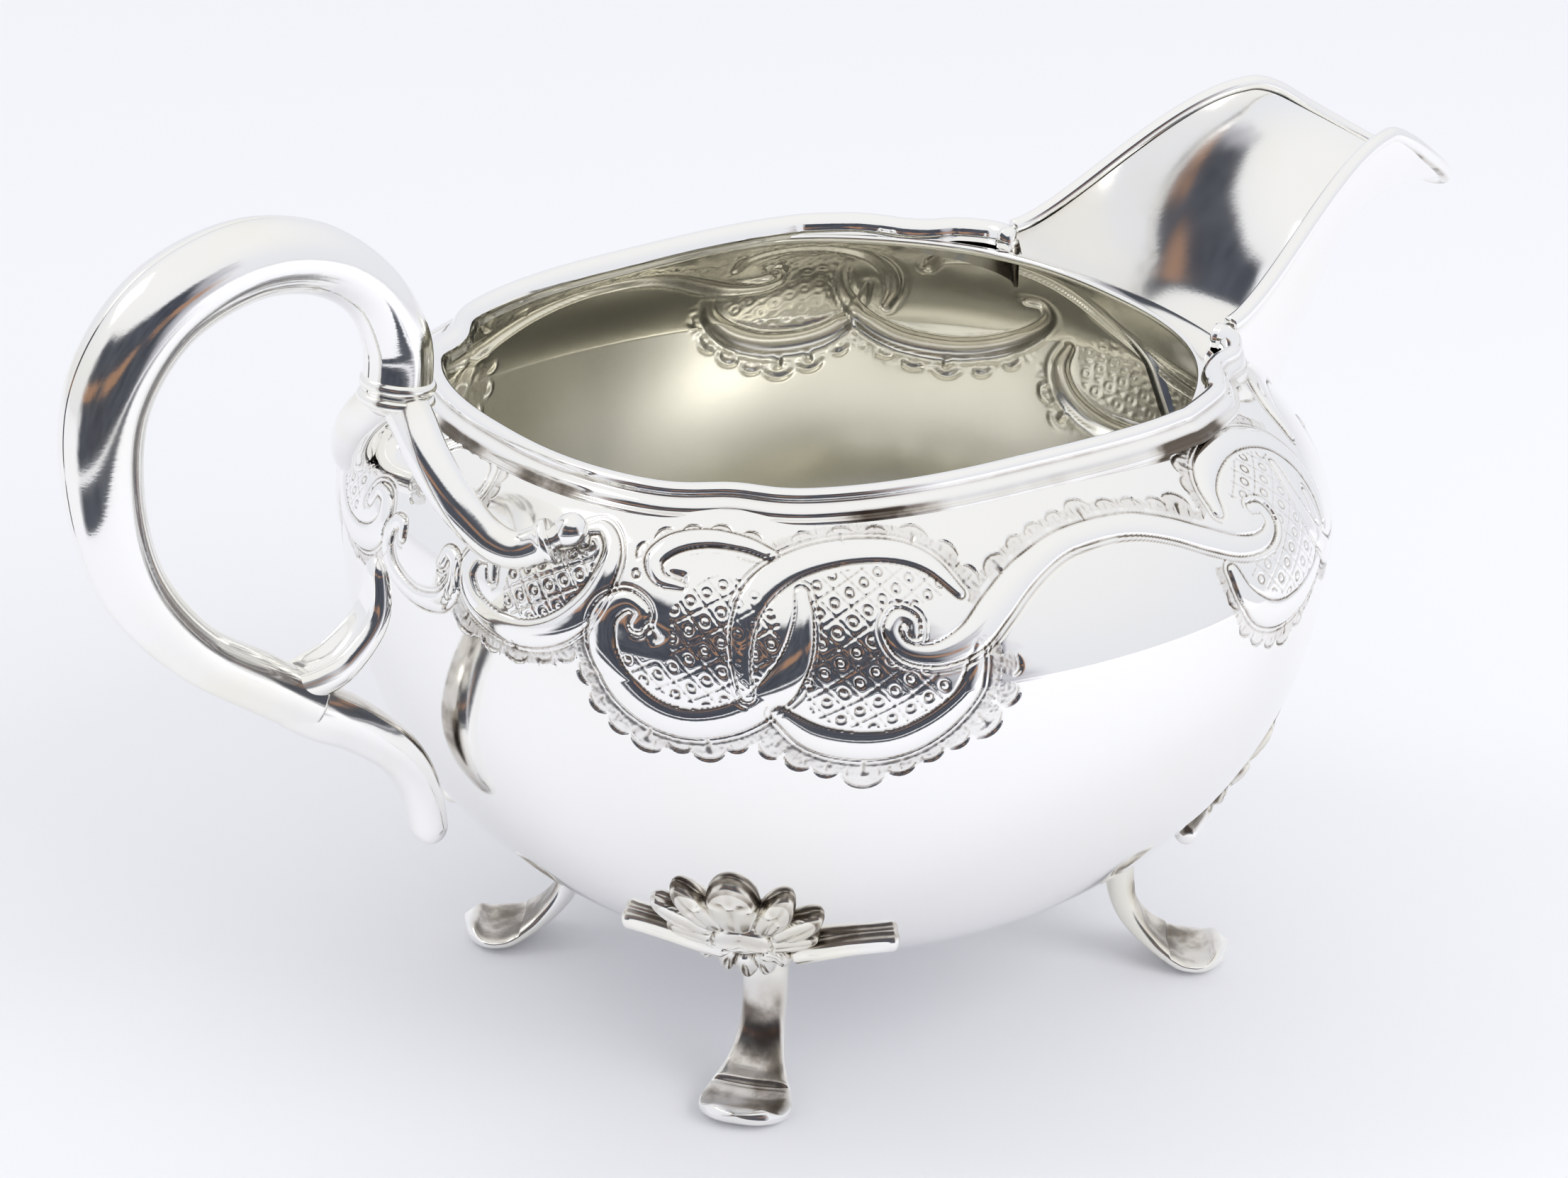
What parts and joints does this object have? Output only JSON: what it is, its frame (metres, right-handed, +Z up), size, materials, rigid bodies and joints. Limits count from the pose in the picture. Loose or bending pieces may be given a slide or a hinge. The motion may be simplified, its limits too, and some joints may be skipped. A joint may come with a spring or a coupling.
{
  "type": "silver sauce boat",
  "caption": "Bellied silver sauce boat with a chased scroll band, a high pouring lip, a forked scroll handle and four spoon-toed feet.",
  "frame": {"origin": "on the table plane, at the middle of the overall length and width", "axes": "+X from the handle towards the pouring lip, +Y to the boat's left, +Z up"},
  "size_m": [0.1991, 0.1142, 0.1141],
  "materials": {
    "polished_silver": "polished, lightly tarnished in the chasing",
    "wire_silver": "polished",
    "handle_silver": "polished, worn",
    "cast_silver": "polished casting with tarnish in the recesses"
  },
  "bodies": {
    "root": {"bowl": "polished_silver", "foot_leaf_front_left": "cast_silver", "foot_leaf_front_right": "cast_silver", "foot_leaf_rear_left": "cast_silver", "foot_leaf_rear_right": "cast_silver", "foot_scrolls_front_left": "cast_silver", "foot_scrolls_front_right": "cast_silver", "foot_scrolls_rear_left": "cast_silver", "foot_scrolls_rear_right": "cast_silver", "fork_bud_left": "cast_silver", "fork_bud_right": "cast_silver", "fork_prong_left": "cast_silver", "fork_prong_right": "cast_silver", "handle_collar": "cast_silver", "handle_left_half": "handle_silver", "handle_right_half": "handle_silver", "handle_spur": "cast_silver", "handle_tail": "cast_silver", "leg_front_left": "cast_silver", "leg_front_right": "cast_silver", "leg_rear_left": "cast_silver", "leg_rear_right": "cast_silver", "rim_moulding": "wire_silver", "spout": "polished_silver", "spout_edge_wire": "wire_silver"}
  },
  "joints": []
}
